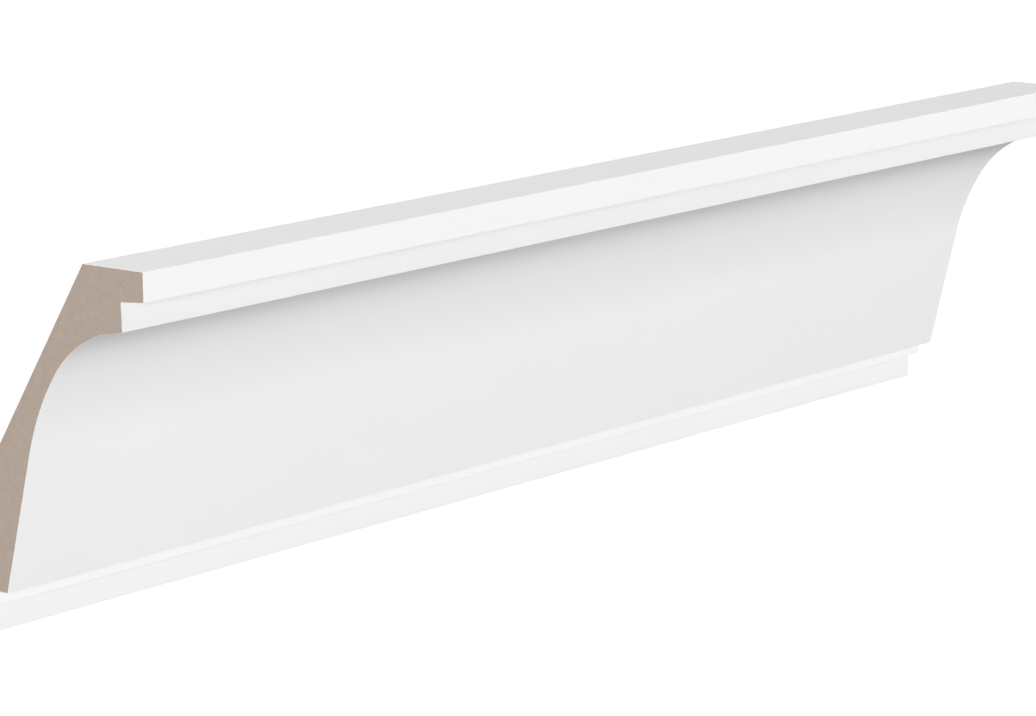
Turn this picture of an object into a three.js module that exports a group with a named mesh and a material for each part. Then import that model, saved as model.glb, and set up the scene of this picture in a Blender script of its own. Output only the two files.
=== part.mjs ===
// A length of MDF crown moulding, the trim that covers the corner between a wall and a ceiling.
// It is one solid: a section, run along its length and cut square at both ends.
// Sizes are in millimetres. X runs along the length, +Y points into the wall and +Z points up.
// The origin is the middle of the upright face that lies against the wall.

import * as THREE from "three";

// Driving dimensions, in the order that the section is drawn
const length = 480; // from one square cut to the other
const wallFace = 24.4; // height of the upright face against the wall
const footDepth = 13.6; // the level bottom edge, from the wall to the lower strip
const lowerStrip = 9.55; // height of the lowest upright strip
const lowerRecess = 5; // how far the lower strip is set back from the upper one
const upperStrip = 4.65; // height of the narrow strip under the lip
const upperRecess = 5.2; // how far the upper strip is set back from the lip
const flatWidth = 45.4; // the straight face above the lip
const flatSlope = 75; // its angle above level, in degrees
const lowerCoveRadius = 77; // the hollow that leaves the flat
const coveJoinSlope = 55; // the slope where the two hollows meet, in degrees
const upperCoveRadius = 38.8; // the tighter hollow above it
const coveTopSlope = 18; // the slope where that hollow ends, in degrees
const soffitWidth = 9.45; // the straight face between the hollow and the lower fascia
const soffitSlope = 11; // its angle above level, in degrees
const lowerFascia = 8.8; // height of the upright face above the cove
const lowerFasciaLean = 0.2; // how far that face leans back at its top
const stepDepth = 9.2; // how far the top fascia stands out past the lower one
const stepRise = 0.75; // how far the underside of that step rises on its way out
const topFascia = 8.85; // height of the top fascia
const ceilingFace = 24.4; // width of the level face against the ceiling

// The cove is drawn with one flat facet for each degree or less of turn.
const facetAngle = 1;

// The outline of the section, drawn one face after another in the plane of the cut end.
// Its first coordinate is y, towards the wall, and its second is z, up.
class SectionPen {
  constructor(y, z) {
    this.points = [new THREE.Vector2(y, z)];
  }

  get tip() {
    return this.points[this.points.length - 1];
  }

  // A straight face, by how far it goes out from the wall and how far it goes up.
  line(out, up) {
    this.points.push(new THREE.Vector2(this.tip.x - out, this.tip.y + up));
  }

  // A slanting straight face, by its width and its slope above level.
  slant(width, slope) {
    const angle = THREE.MathUtils.degToRad(slope);
    this.line(width * Math.cos(angle), width * Math.sin(angle));
  }

  // A hollow round face, whose slope above level goes from one angle to a lower one.
  hollow(radius, fromSlope, toSlope) {
    const facets = Math.ceil(Math.abs(fromSlope - toSlope) / facetAngle);
    const start = THREE.MathUtils.degToRad(fromSlope);
    const end = THREE.MathUtils.degToRad(toSlope);
    const centreY = this.tip.x - radius * Math.sin(start);
    const centreZ = this.tip.y - radius * Math.cos(start);
    for (let i = 1; i <= facets; i += 1) {
      const slope = THREE.MathUtils.lerp(start, end, i / facets);
      const y = centreY + radius * Math.sin(slope);
      const z = centreZ + radius * Math.cos(slope);
      this.points.push(new THREE.Vector2(y, z));
    }
  }
}

// From the foot of the wall face, out along the bottom, up the front and back along the ceiling.
// The last line, down the sloping back, closes the outline at the top of the wall face.
function mouldingSection() {
  const pen = new SectionPen(0, -wallFace / 2);
  pen.line(footDepth, 0);
  pen.line(0, lowerStrip);
  pen.line(lowerRecess, 0);
  pen.line(0, upperStrip);
  pen.line(upperRecess, 0);
  pen.slant(flatWidth, flatSlope);
  pen.hollow(lowerCoveRadius, flatSlope, coveJoinSlope);
  pen.hollow(upperCoveRadius, coveJoinSlope, coveTopSlope);
  pen.slant(soffitWidth, soffitSlope);
  pen.line(-lowerFasciaLean, lowerFascia);
  pen.line(stepDepth, stepRise);
  pen.line(0, topFascia);
  pen.line(-ceilingFace, 0);
  return new THREE.Shape([...pen.points, new THREE.Vector2(0, wallFace / 2)]);
}

// The machined faces carry white primer. The two cuts show the bare brown board.
const primer = new THREE.MeshStandardMaterial({ color: "#f1f0ee", roughness: 0.5, metalness: 0 });
const cutBoard = new THREE.MeshStandardMaterial({ color: "#b2a397", roughness: 0.9, metalness: 0 });

// The section is drawn in x and y and run along z. Two quarter turns carry x to Y, y to Z and z to X.
function moulding() {
  const run = new THREE.ExtrudeGeometry(mouldingSection(), { depth: length, bevelEnabled: false });
  const mesh = new THREE.Mesh(run, [cutBoard, primer]);
  mesh.name = "moulding";
  mesh.rotation.set(Math.PI / 2, Math.PI / 2, 0);
  mesh.position.x = -length / 2;
  return mesh;
}

const part = new THREE.Group();
part.add(moulding());

export default part;
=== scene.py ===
# %% [markdown]
# # A length of crown moulding
# Crown moulding covers the corner where a wall meets the ceiling. This one is run from medium density
# fibreboard: a moulding machine planes a board to a long hollow profile, the faces are sprayed with
# white primer, and a saw cuts the board square to length, which bares the brown board at both ends.
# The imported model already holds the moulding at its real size. Everything here is built around it,
# in metres, in the same place: X runs along the length, +Y points into the wall and +Z points up.

# %% Load the frame
from math import atan2, cos, degrees, pi, radians, sin

import bmesh
import bpy
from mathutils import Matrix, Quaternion, Vector


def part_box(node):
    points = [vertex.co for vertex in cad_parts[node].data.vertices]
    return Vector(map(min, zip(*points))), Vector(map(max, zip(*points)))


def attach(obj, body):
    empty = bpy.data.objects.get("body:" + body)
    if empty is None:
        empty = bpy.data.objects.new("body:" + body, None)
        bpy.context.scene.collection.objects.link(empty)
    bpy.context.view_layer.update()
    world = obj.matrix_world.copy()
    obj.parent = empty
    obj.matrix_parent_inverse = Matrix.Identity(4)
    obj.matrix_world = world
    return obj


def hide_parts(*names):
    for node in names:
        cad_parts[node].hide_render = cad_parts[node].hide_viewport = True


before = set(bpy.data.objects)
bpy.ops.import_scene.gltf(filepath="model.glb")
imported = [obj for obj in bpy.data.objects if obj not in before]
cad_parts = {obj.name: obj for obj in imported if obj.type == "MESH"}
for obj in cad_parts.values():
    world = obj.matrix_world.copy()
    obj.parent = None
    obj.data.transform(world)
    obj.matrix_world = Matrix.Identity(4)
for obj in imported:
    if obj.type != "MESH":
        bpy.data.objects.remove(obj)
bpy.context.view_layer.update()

MM = 0.001
low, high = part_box("moulding")
LENGTH = high.x - low.x
print("the moulding is", [round(side / MM, 1) for side in high - low], "mm")

# %% [markdown]
# ## The camera
# A short lens close by would make the near end loom. A long lens, three lengths of the moulding away,
# lets its parallel edges draw together only gently. The camera stands off the left end, in front of the
# moulding and a little above it, and leans by less than a degree.

# %% Set up the camera
LENS_MM = 145.7
VIEW_AZIMUTH, VIEW_ELEVATION, VIEW_ROLL = -49.78, 11.22, -0.84
VIEW_DISTANCE = 1.419
AIM = Vector((0, -0.02034, 0.03408))


def direction(azimuth, elevation):
    """Points away from the moulding, by degrees round from straight in front of it and degrees up."""
    turn, lift = radians(azimuth), radians(elevation)
    return Vector((sin(turn) * cos(lift), -cos(turn) * cos(lift), sin(lift)))


towards_camera = direction(VIEW_AZIMUTH, VIEW_ELEVATION)
camera = bpy.data.objects.new("camera", bpy.data.cameras.new("camera"))
camera.data.lens = LENS_MM
camera.location = AIM + towards_camera * VIEW_DISTANCE
camera.rotation_mode = "QUATERNION"
level_turn = (-towards_camera).to_track_quat("-Z", "Y")
camera.rotation_quaternion = level_turn @ Quaternion((0, 0, 1), radians(VIEW_ROLL))
bpy.context.scene.collection.objects.link(camera)
bpy.context.scene.camera = camera
print("camera at", [round(c, 3) for c in camera.location])

# %% [markdown]
# ## The section
# A moulding is one outline carried along its length, so the outline comes first. It could be typed in as
# a list of points. Walking round it is closer to how a maker reads a profile: out, up, out again, and
# then round a hollow. One vertex is extruded for each straight face, and spun for each hollow.

# %% Three ways to move: a straight face, a slanting face and a hollow
FACET = 1  # degrees of turn in each flat facet of a hollow


def straight(bm, tip, out, up):
    """Extrudes the last corner so many millimetres out from the wall and up. Returns the new corner."""
    corner = bmesh.ops.extrude_vert_indiv(bm, verts=[tip])["verts"][0]
    bmesh.ops.translate(bm, verts=[corner], vec=(0, -out * MM, up * MM))
    return corner


def slant(bm, tip, width, slope):
    """Adds a straight face by its width and its slope above level."""
    return straight(bm, tip, width * cos(radians(slope)), width * sin(radians(slope)))


def hollow(bm, tip, radius, from_slope, to_slope):
    """Spins the last corner round a hollow whose slope above level goes from one angle to a lower one."""
    slope = radians(from_slope)
    centre = tip.co - Vector((0, sin(slope), cos(slope))) * radius * MM
    turn = from_slope - to_slope
    spun = bmesh.ops.spin(
        bm, geom=[tip], cent=centre, axis=(1, 0, 0), angle=radians(turn), steps=round(turn / FACET),
    )
    return next(v for v in spun["geom_last"] if isinstance(v, bmesh.types.BMVert))


# %% Walk round the section, in millimetres and degrees
WALL_FACE = 24.4
FOOT_DEPTH = 13.6
LOWER_STRIP, LOWER_RECESS = 9.55, 5.0
UPPER_STRIP, UPPER_RECESS = 4.65, 5.2
FLAT_WIDTH, FLAT_SLOPE = 45.4, 75
LOWER_COVE_RADIUS, COVE_JOIN_SLOPE = 77.0, 55
UPPER_COVE_RADIUS, COVE_TOP_SLOPE = 38.8, 18
SOFFIT_WIDTH, SOFFIT_SLOPE = 9.45, 11
LOWER_FASCIA, LOWER_FASCIA_LEAN = 8.8, 0.2
STEP_DEPTH, STEP_RISE = 9.2, 0.75
TOP_FASCIA, CEILING_FACE = 8.85, 24.4

bm = bmesh.new()
foot = bm.verts.new((low.x, high.y, low.z))
tip = straight(bm, foot, FOOT_DEPTH, 0)
tip = straight(bm, tip, 0, LOWER_STRIP)
tip = straight(bm, tip, LOWER_RECESS, 0)
tip = straight(bm, tip, 0, UPPER_STRIP)
tip = straight(bm, tip, UPPER_RECESS, 0)
tip = slant(bm, tip, FLAT_WIDTH, FLAT_SLOPE)
tip = hollow(bm, tip, LOWER_COVE_RADIUS, FLAT_SLOPE, COVE_JOIN_SLOPE)
tip = hollow(bm, tip, UPPER_COVE_RADIUS, COVE_JOIN_SLOPE, COVE_TOP_SLOPE)
tip = slant(bm, tip, SOFFIT_WIDTH, SOFFIT_SLOPE)
tip = straight(bm, tip, -LOWER_FASCIA_LEAN, LOWER_FASCIA)
tip = straight(bm, tip, STEP_DEPTH, STEP_RISE)
tip = straight(bm, tip, 0, TOP_FASCIA)
miss = (tip.co - Vector((low.x, low.y, high.z))).length
print("off the frame's top front corner by", round(miss / MM, 4), "mm")
tip = straight(bm, tip, -CEILING_FACE, 0)
wall_top = bm.verts.new((low.x, high.y, low.z + WALL_FACE * MM))
bm.edges.new((tip, wall_top))
bm.edges.new((wall_top, foot))
section = bmesh.ops.contextual_create(bm, geom=bm.edges[:])["faces"][0]
print("the section has", len(section.verts), "corners")

# %% [markdown]
# ## Running the board
# Extruding the section once gives the whole run. The long faces are left whole for now, because a bevel
# is cleaner on an edge that has no joints in it.

# %% Run the section along the length
run = bmesh.ops.extrude_face_region(bm, geom=[section])
run_end = [v for v in run["geom"] if isinstance(v, bmesh.types.BMVert)]
bmesh.ops.translate(bm, verts=run_end, vec=(LENGTH, 0, 0))
bmesh.ops.recalc_face_normals(bm, faces=bm.faces[:])
volume = bm.calc_volume() / (10 * MM) ** 3
print("the run has", len(bm.faces), "faces, and holds", round(volume), "cubic centimetres")

# %% [markdown]
# ## Easing the arrises
# No planed edge is truly sharp. The cutter leaves the outer arrises about a tenth of a millimetre round,
# and the primer gathers a little wider in the inner corners. The saw leaves its own edge crisper still.
# One Bevel modifier would round them all alike. Three bevels in the mesh give each kind its own radius:
# two along the run, outside and in, then the finest round both cut ends.

# %% Bevel the long arrises, then the rims of the two cuts
ARRIS_RADIUS = 0.08 * MM
INNER_RADIUS = 0.2 * MM
SAW_RADIUS = 0.06 * MM
RUN_SEGMENTS, SAW_SEGMENTS = 3, 2
SHARP = radians(20)  # the least turn from one face to the next that makes an arris or a corner
LONG_SHARE = 0.9  # an edge longer than this share of the run goes all the way
SQUARE_ON = 0.99  # a face whose normal has more than this of one axis faces along that axis


def ease(bm, edges, radius, segments):
    """Rounds these edges."""
    bmesh.ops.bevel(
        bm, geom=edges, offset=radius, offset_type="OFFSET", affect="EDGES",
        segments=segments, profile=0.5, material=-1, clamp_overlap=True,
    )


def long_edges(bm):
    """The edges that run the whole length."""
    return [e for e in bm.edges if e.calc_length() > LONG_SHARE * LENGTH]


def sharp_edges(bm, convex):
    """The sharp edges along the run: the outer arrises where convex is true, or else the inner corners."""
    return [e for e in long_edges(bm) if e.calc_face_angle() > SHARP and e.is_convex == convex]


outer = sharp_edges(bm, convex=True)
print(len(outer), "outer arrises and", len(sharp_edges(bm, convex=False)), "inner corners")
ease(bm, outer, ARRIS_RADIUS, RUN_SEGMENTS)
ease(bm, sharp_edges(bm, convex=False), INNER_RADIUS, RUN_SEGMENTS)
cuts = [f for f in bm.faces if abs(f.normal.x) > SQUARE_ON]
rims = [e for f in cuts for e in f.edges]
ease(bm, rims, SAW_RADIUS, SAW_SEGMENTS)
print("eased to", len(bm.faces), "faces")

# %% [markdown]
# ## Which face is which
# The spray reaches the front, the foot, the ceiling face and the wall face. The sloping back turns away
# from it and stays bare, apart from a mist at its two edges. Picking faces by number would break with
# any change to the section, so each face takes its finish by the way it faces. The run is then divided,
# because faces half a metre long and a few hundredths of a millimetre wide are poor ones to shade.

# %% Sort the faces by finish, and divide the run evenly
PRIMER, CUT, BACK = range(3)  # the materials are made in this order below
BACK_INWARD, BACK_UPWARD = 0.5, 0.3  # the back faces the wall and the ceiling by more than this
RUN_STEP = 10 * MM

for face in bm.faces:
    face.smooth = True
    if abs(face.normal.x) > SQUARE_ON:
        face.material_index = CUT
    elif face.normal.y > BACK_INWARD and face.normal.z > BACK_UPWARD:
        face.material_index = BACK
    else:
        face.material_index = PRIMER
run_steps = round(LENGTH / RUN_STEP)
bmesh.ops.subdivide_edges(bm, edges=long_edges(bm), cuts=run_steps - 1, use_grid_fill=True)
for name, slot in (("primed", PRIMER), ("cut", CUT), ("back", BACK)):
    print(sum(f.material_index == slot for f in bm.faces), name, "faces")

# %% [markdown]
# ## Shade and light painted into the primer
# The primer's tone is changed face by face, to paint in shade and light. Painted shade greys the fascia
# under the deep step, and the lower strip of the foot a little, while the upper strip of the foot is
# painted lighter. In the hollow, shade is painted in the corner under the fascia, and light where the
# face turns out of that corner. Painting this on an image would need the faces unwrapped. An attribute
# on the faces keeps it in the mesh, for the primer to read.

# %% Mark the primer's tone on each face, with shade and light painted in
USUAL_COAT = 0.5
# Painted shade on the fascia under the step
PAINTED_SHADE_UNDER_STEP = 0.02
# Painted shade on the lower strip of the foot, and painted light on the upper strip
LOWER_STRIP_PAINTED_SHADE = 0.4
UPPER_STRIP_PAINTED_LIGHT = 0.62
# Slopes above level in the hollow, in degrees, each with the painted shade and light there
HOLLOW_PAINTED_SHADING = ((32, 0.22), (44, 0.66), (58, 0.66), (70, USUAL_COAT))
HOLLOW_FACING = 0.15  # the hollow faces out and down by more than this

LOWER_FASCIA_TOP = high.z - (TOP_FASCIA + STEP_RISE) * MM
LOWER_FASCIA_FOOT = LOWER_FASCIA_TOP - LOWER_FASCIA * MM
LOWER_STRIP_TOP = low.z + LOWER_STRIP * MM
UPPER_STRIP_TOP = LOWER_STRIP_TOP + UPPER_STRIP * MM


def hollow_painted_shading(slope):
    """The painted shade and light where the hollow has this slope, between the slopes marked on either
    side of it.
    """
    for (start, start_shading), (end, end_shading) in zip(HOLLOW_PAINTED_SHADING, HOLLOW_PAINTED_SHADING[1:]):
        if slope < end:
            return start_shading + (end_shading - start_shading) * max(0, slope - start) / (end - start)
    return USUAL_COAT


def coat_and_painted_shade_on(face):
    """The primer's tone on a face, with shade and light painted in by the way it faces and its height."""
    outward, downward = -face.normal.y, -face.normal.z
    height = face.calc_center_median().z
    if outward > HOLLOW_FACING and downward > HOLLOW_FACING and height < LOWER_FASCIA_FOOT:
        return hollow_painted_shading(degrees(atan2(outward, downward)))
    if outward < SQUARE_ON:
        return USUAL_COAT
    if LOWER_FASCIA_FOOT < height < LOWER_FASCIA_TOP:
        return PAINTED_SHADE_UNDER_STEP
    if height < LOWER_STRIP_TOP:
        return LOWER_STRIP_PAINTED_SHADE
    return UPPER_STRIP_PAINTED_LIGHT if height < UPPER_STRIP_TOP else USUAL_COAT


# The attribute holds the primer's tone on each face, with shade and light painted in
coat_and_painted_shade = bm.faces.layers.float.new("coat_and_painted_shade")
for face in bm.faces:
    face[coat_and_painted_shade] = coat_and_painted_shade_on(face)
print("the coat differs on", sum(f[coat_and_painted_shade] != USUAL_COAT for f in bm.faces), "faces")

# %% [markdown]
# ## From bmesh to a piece
# Each cut is still one face with many corners, so it is divided into triangles first. Then the mesh
# becomes an object at the origin, with its place in its vertices. Flat shading would show the facets of
# the hollow. Smooth shading with weighted normals hides them, and lets each large face stay flat while
# the narrow eased edges turn from one face to the next.

# %% Make the piece
FULL_WEIGHT = 100  # large faces count for as much more than small ones as the modifier allows


def to_object(bm, name):
    """Makes a bmesh an object in the scene, and frees the bmesh."""
    mesh = bpy.data.meshes.new(name)
    bm.to_mesh(mesh)
    bm.free()
    piece = bpy.data.objects.new(name, mesh)
    bpy.context.scene.collection.objects.link(piece)
    return piece


bmesh.ops.triangulate(bm, faces=[f for f in bm.faces if f.material_index == CUT])
moulding = to_object(bm, "crown_moulding")
shading = moulding.modifiers.new("weighted normals", "WEIGHTED_NORMAL")
shading.mode = "FACE_AREA"
shading.weight = FULL_WEIGHT
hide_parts("moulding")
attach(moulding, "root")
print("the piece has", len(moulding.data.polygons), "faces")

# %% [markdown]
# ## Helpers for materials
# Colours are written as the hex values a screen shows, and turned to the linear light that the renderer
# adds up. One small function adds a node with its settings and its inputs, so that a material reads as
# a list of what it is made of. Inputs go by name, except on Math and Mix nodes, where several share one
# and go by number. The last function starts an empty material.

# %% Colour and node helpers
MIX_A, MIX_B, MIX_RESULT = 6, 7, 2  # the sockets of a Mix node that hold colours


def linear(hex_colour):
    """A screen colour, such as #b2a397, as linear red, green, blue and alpha."""
    channels = [int(hex_colour[i:i + 2], 16) / 255 for i in (1, 3, 5)]
    return (*(c / 12.92 if c <= 0.04045 else ((c + 0.055) / 1.055) ** 2.4 for c in channels), 1)


def add(tree, kind, inputs=None, **settings):
    """Adds a node. An input that is another node's socket is linked, and any other is set."""
    node = tree.nodes.new(kind)
    for name, value in settings.items():
        setattr(node, name, value)
    for name, value in (inputs or {}).items():
        if isinstance(value, bpy.types.NodeSocket):
            tree.links.new(value, node.inputs[name])
        else:
            node.inputs[name].default_value = value
    return node


def new_material(name, piece):
    """Starts a material with no nodes on the next slot of a piece. Returns its node tree."""
    material = bpy.data.materials.new(name)
    material.use_nodes = True
    material.node_tree.nodes.clear()
    piece.data.materials.append(material)
    return material.node_tree


# %% [markdown]
# ## White primer
# Acrylic primer, sprayed on sanded fibreboard. It dries to an even satin white. One tone goes from grey
# to white by the attribute on the faces, which holds shade and light painted into the primer, and drifts
# a little from place to place at random. Bump adds the fine stipple of the spray and the faint lines
# that nicks in the cutters leave along the run.

# %% The patterns in sprayed acrylic primer
STIPPLE = 0.9 * MM
CUTTER_LINES = 0.7 * MM
CUTTER_LINE_STRETCH = 100
COAT_CLOUDS = 40 * MM

tree = new_material("sprayed_acrylic_primer", moulding)
place = add(tree, "ShaderNodeTexCoord").outputs["Object"]
along = add(tree, "ShaderNodeMapping", {"Vector": place, "Scale": (1 / CUTTER_LINE_STRETCH, 1, 1)})
clouds = add(tree, "ShaderNodeTexNoise", {"Vector": place, "Scale": 1 / COAT_CLOUDS, "Detail": 3})
stipple = add(tree, "ShaderNodeTexNoise", {"Vector": place, "Scale": 1 / STIPPLE, "Detail": 2})
lines = add(tree, "ShaderNodeTexNoise", {
    "Vector": along.outputs["Vector"], "Scale": 1 / CUTTER_LINES, "Detail": 1,
})
print("stipple every", round(STIPPLE / MM, 1), "mm, cutter lines every", round(CUTTER_LINES / MM, 1), "mm")

# %% The primer's tone, gloss and relief
COAT_DRIFT = 0.15

# Reads the shade and light painted into the primer's tone, face by face
painted_shade_attribute = add(tree, "ShaderNodeAttribute", attribute_name="coat_and_painted_shade")
drift = add(tree, "ShaderNodeMapRange", {
    "Value": clouds.outputs["Fac"], "To Min": -COAT_DRIFT / 2, "To Max": COAT_DRIFT / 2,
})
# The painted shade and light, with a random drift in tone added
tone_with_painted_shade = add(tree, "ShaderNodeMath", operation="ADD", use_clamp=True, inputs={
    0: painted_shade_attribute.outputs["Fac"], 1: drift.outputs["Result"],
})
colour = add(tree, "ShaderNodeMix", data_type="RGBA", inputs={
    "Factor": tone_with_painted_shade.outputs["Value"], MIX_A: linear("#e5e5e5"), MIX_B: linear("#f6f6f6"),
})
gloss = add(tree, "ShaderNodeMapRange", {
    "Value": stipple.outputs["Fac"],
    "From Min": 0.3, "From Max": 0.7, "To Min": 0.46, "To Max": 0.54,
})
stippled = add(tree, "ShaderNodeBump", {
    "Strength": 0.25, "Distance": 0.01 * MM, "Height": stipple.outputs["Fac"],
})
relief = add(tree, "ShaderNodeBump", {
    "Strength": 0.2, "Distance": 0.01 * MM,
    "Height": lines.outputs["Fac"], "Normal": stippled.outputs["Normal"],
})
shader = add(tree, "ShaderNodeBsdfPrincipled", {
    "Base Color": colour.outputs[MIX_RESULT], "Roughness": gloss.outputs["Result"],
    "Normal": relief.outputs["Normal"], "IOR": 1.47,
})
add(tree, "ShaderNodeOutputMaterial", {"Surface": shader.outputs["BSDF"]})
print("primer:", len(tree.nodes), "nodes")

# %% [markdown]
# ## The saw cut
# Medium density fibreboard is wood ground to fibre and pressed with resin. Sawn across, it shows no
# grain, only a dense felt of light and dark fibres. A single fibre is too fine to show in the picture, so
# the felt is drawn as coarse as small bundles of them, over a broader mottle.

# %% Sawn fibreboard
FIBRES = 0.4 * MM
MOTTLE = 3 * MM
MOTTLE_SHARE = 0.3

tree = new_material("sawn_fibreboard", moulding)
place = add(tree, "ShaderNodeTexCoord").outputs["Object"]
fibres = add(tree, "ShaderNodeTexNoise", {"Vector": place, "Scale": 1 / FIBRES, "Detail": 2})
mottle = add(tree, "ShaderNodeTexNoise", {"Vector": place, "Scale": 1 / MOTTLE, "Detail": 2})
felt = add(tree, "ShaderNodeMath", operation="MULTIPLY_ADD", inputs={
    0: mottle.outputs["Fac"], 1: MOTTLE_SHARE, 2: fibres.outputs["Fac"],
})
tone = add(tree, "ShaderNodeMapRange", {
    "Value": felt.outputs["Value"], "From Min": 0.35, "From Max": 0.95,
})
colour = add(tree, "ShaderNodeMix", data_type="RGBA", inputs={
    "Factor": tone.outputs["Result"], MIX_A: linear("#a29386"), MIX_B: linear("#c4b3a7"),
})
relief = add(tree, "ShaderNodeBump", {
    "Strength": 0.3, "Distance": 0.05 * MM, "Height": fibres.outputs["Fac"],
})
shader = add(tree, "ShaderNodeBsdfPrincipled", {
    "Base Color": colour.outputs[MIX_RESULT], "Roughness": 0.85,
    "Normal": relief.outputs["Normal"], "IOR": 1.45,
})
add(tree, "ShaderNodeOutputMaterial", {"Surface": shader.outputs["BSDF"]})
print("sawn board:", len(tree.nodes), "nodes")

# %% [markdown]
# ## The bare back
# The back keeps the board's own pressed and sanded skin. The sanding belt leaves faint lines along the
# run, and the fibres lie a little unevenly, so the brown drifts from place to place. Three noises added
# together give this: broad clouds, lines and fibres.

# %% Sanded fibreboard
SANDING_LINES = 1.2 * MM
SANDING_LINE_STRETCH = 50
FIBRE_CLOUDS = 14 * MM
LINES_SHARE, FIBRES_SHARE = 0.5, 0.5

tree = new_material("sanded_fibreboard", moulding)
place = add(tree, "ShaderNodeTexCoord").outputs["Object"]
along = add(tree, "ShaderNodeMapping", {"Vector": place, "Scale": (1 / SANDING_LINE_STRETCH, 1, 1)})
clouds = add(tree, "ShaderNodeTexNoise", {"Vector": place, "Scale": 1 / FIBRE_CLOUDS, "Detail": 4})
fibres = add(tree, "ShaderNodeTexNoise", {"Vector": place, "Scale": 1 / FIBRES, "Detail": 2})
lines = add(tree, "ShaderNodeTexNoise", {
    "Vector": along.outputs["Vector"], "Scale": 1 / SANDING_LINES, "Detail": 2,
})
sanded = add(tree, "ShaderNodeMath", operation="MULTIPLY_ADD", inputs={
    0: lines.outputs["Fac"], 1: LINES_SHARE, 2: clouds.outputs["Fac"],
})
skin = add(tree, "ShaderNodeMath", operation="MULTIPLY_ADD", inputs={
    0: fibres.outputs["Fac"], 1: FIBRES_SHARE, 2: sanded.outputs["Value"],
})
tone = add(tree, "ShaderNodeMapRange", {
    "Value": skin.outputs["Value"], "From Min": 0.6, "From Max": 1.4,
})
board = add(tree, "ShaderNodeMix", data_type="RGBA", inputs={
    "Factor": tone.outputs["Result"], MIX_A: linear("#9f8c7a"), MIX_B: linear("#ae9b89"),
})
print("bare board:", len(tree.nodes), "nodes")

# %% [markdown]
# Spray that misses the front drifts round its edges as a mist of droplets. The mist could have faces of
# its own, but then it would end at a line. Two ramps on the height let it fade out from the top and the
# foot of the back, and a noise breaks it up into droplets.

# %% A mist of primer at the edges of the back
DROPLETS = 1.0 * MM
MIST_REACH = 7 * MM
MIST_SHARE = 0.9
BACK_FOOT = low.z + WALL_FACE * MM

height = add(tree, "ShaderNodeSeparateXYZ", {"Vector": place}).outputs["Z"]
top_mist = add(tree, "ShaderNodeMapRange", {
    "Value": height, "From Min": high.z - MIST_REACH, "From Max": high.z,
})
foot_mist = add(tree, "ShaderNodeMapRange", {
    "Value": height, "From Min": BACK_FOOT + MIST_REACH, "From Max": BACK_FOOT,
})
mist = add(tree, "ShaderNodeMath", operation="MAXIMUM", inputs={
    0: top_mist.outputs["Result"], 1: foot_mist.outputs["Result"],
})
droplets = add(tree, "ShaderNodeTexNoise", {"Vector": place, "Scale": 1 / DROPLETS, "Detail": 3})
landed = add(tree, "ShaderNodeMath", operation="MULTIPLY_ADD", inputs={
    0: mist.outputs["Value"], 1: MIST_SHARE, 2: droplets.outputs["Fac"],
})
white = add(tree, "ShaderNodeMapRange", {
    "Value": landed.outputs["Value"], "From Min": 0.7, "From Max": 1.3, "To Max": 0.9,
})
colour = add(tree, "ShaderNodeMix", data_type="RGBA", inputs={
    "Factor": white.outputs["Result"], MIX_A: board.outputs[MIX_RESULT], MIX_B: linear("#eeeeee"),
})
relief = add(tree, "ShaderNodeBump", {
    "Strength": 0.3, "Distance": 0.03 * MM, "Height": lines.outputs["Fac"],
})
shader = add(tree, "ShaderNodeBsdfPrincipled", {
    "Base Color": colour.outputs[MIX_RESULT], "Roughness": 0.7,
    "Normal": relief.outputs["Normal"], "IOR": 1.45,
})
add(tree, "ShaderNodeOutputMaterial", {"Surface": shader.outputs["BSDF"]})
print("bare board with its mist:", len(tree.nodes), "nodes")

# %% [markdown]
# ## The floor
# The moulding hangs where it would be fixed, so the floor lies well below it. A small floor would end in
# view, so this is a disc whose edge falls close to the horizon, and the room behind it is white too. It
# is hidden from diffuse and glossy rays, so that it doesn't light the moulding from below.

# %% Lay the floor
FLOOR_DEPTH = 4.2
FLOOR_RADIUS = 80
FLOOR_SIDES = 64

floor_bm = bmesh.new()
bmesh.ops.create_circle(floor_bm, cap_ends=True, segments=FLOOR_SIDES, radius=FLOOR_RADIUS)
bmesh.ops.translate(floor_bm, verts=floor_bm.verts[:], vec=(0, 0, -FLOOR_DEPTH))
floor = to_object(floor_bm, "floor")
floor.visible_diffuse = False
floor.visible_glossy = False
tree = new_material("white_floor", floor)
shader = add(tree, "ShaderNodeBsdfPrincipled", {
    "Base Color": linear("#fafafa"), "Roughness": 1.0,
    "Emission Color": (1, 1, 1, 1), "Emission Strength": 0.88,
})
add(tree, "ShaderNodeOutputMaterial", {"Surface": shader.outputs["BSDF"]})
print("the floor lies", FLOOR_DEPTH, "m below the origin")

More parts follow.
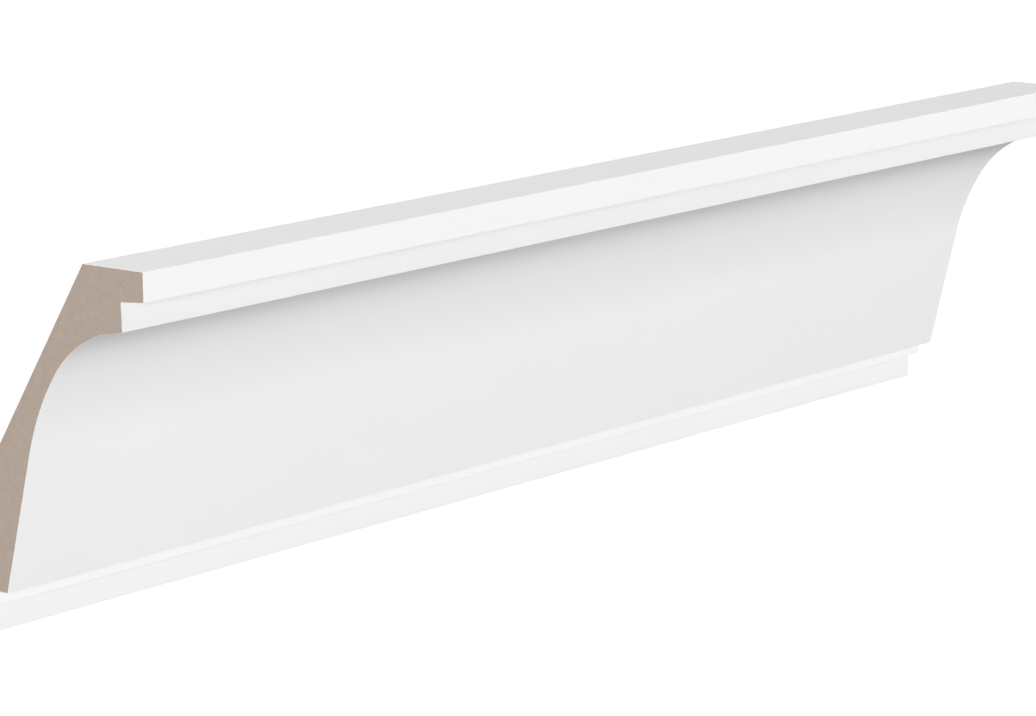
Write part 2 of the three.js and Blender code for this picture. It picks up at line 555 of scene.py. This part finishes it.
# %% [markdown]
# ## The lights
# Soft lights stand level in front of the moulding, above, at both ends and behind. The key light stands
# between the front and the near cut, so that the lip and the step throw hardly any shadow on the faces
# under them. It is half as wide as the rest, which keeps the turn from light to shade at the top of the
# cove short.

# %% Soft lights
SOFTBOX_SIZE, KEY_SIZE = 1.6, 0.8
SOFTBOX_DISTANCE = 4


def softbox(name, azimuth, elevation, share, size=SOFTBOX_SIZE):
    """A square light that faces the moulding. share is how much of full white it adds to a white face."""
    lamp = bpy.data.lights.new(name, "AREA")
    lamp.size = size
    lamp.energy = share * pi**2 * SOFTBOX_DISTANCE**2
    light = bpy.data.objects.new(name, lamp)
    away = direction(azimuth, elevation)
    light.location = away * SOFTBOX_DISTANCE
    light.rotation_euler = away.to_track_quat("Z", "Y").to_euler()
    bpy.context.scene.collection.objects.link(light)


softbox("key_softbox", azimuth=-50, elevation=12.5, share=0.295, size=KEY_SIZE)
softbox("front_softbox", azimuth=0, elevation=0, share=0.612)
softbox("top_softbox", azimuth=0, elevation=90, share=0.415)
softbox("left_softbox", azimuth=-90, elevation=0, share=0.476)
softbox("right_softbox", azimuth=75, elevation=0, share=0.27)
softbox("back_softbox", azimuth=180, elevation=35, share=0.54)
print("lit by", len(bpy.data.lights), "softboxes")

# %% [markdown]
# ## The room
# A room as bright as its white looks would fill every shade on the moulding. A Light Path node tells the
# camera's rays from the rest, so the room looks white to the camera and lights the moulding by much less.

# %% A pale room
ROOM_LIGHT = 0.18

world = bpy.data.worlds.new("pale_room")
world.use_nodes = True
bpy.context.scene.world = world
tree = world.node_tree
tree.nodes.clear()
seen = add(tree, "ShaderNodeLightPath").outputs["Is Camera Ray"]
strength = add(tree, "ShaderNodeMapRange", {"Value": seen, "To Min": ROOM_LIGHT, "To Max": 1})
glow = add(tree, "ShaderNodeBackground", {
    "Color": (1, 1, 1, 1), "Strength": strength.outputs["Result"],
})
add(tree, "ShaderNodeOutputWorld", {"Surface": glow.outputs["Background"]})
bpy.context.scene.view_settings.view_transform = "Standard"
print("the room gives", ROOM_LIGHT, "of full white")
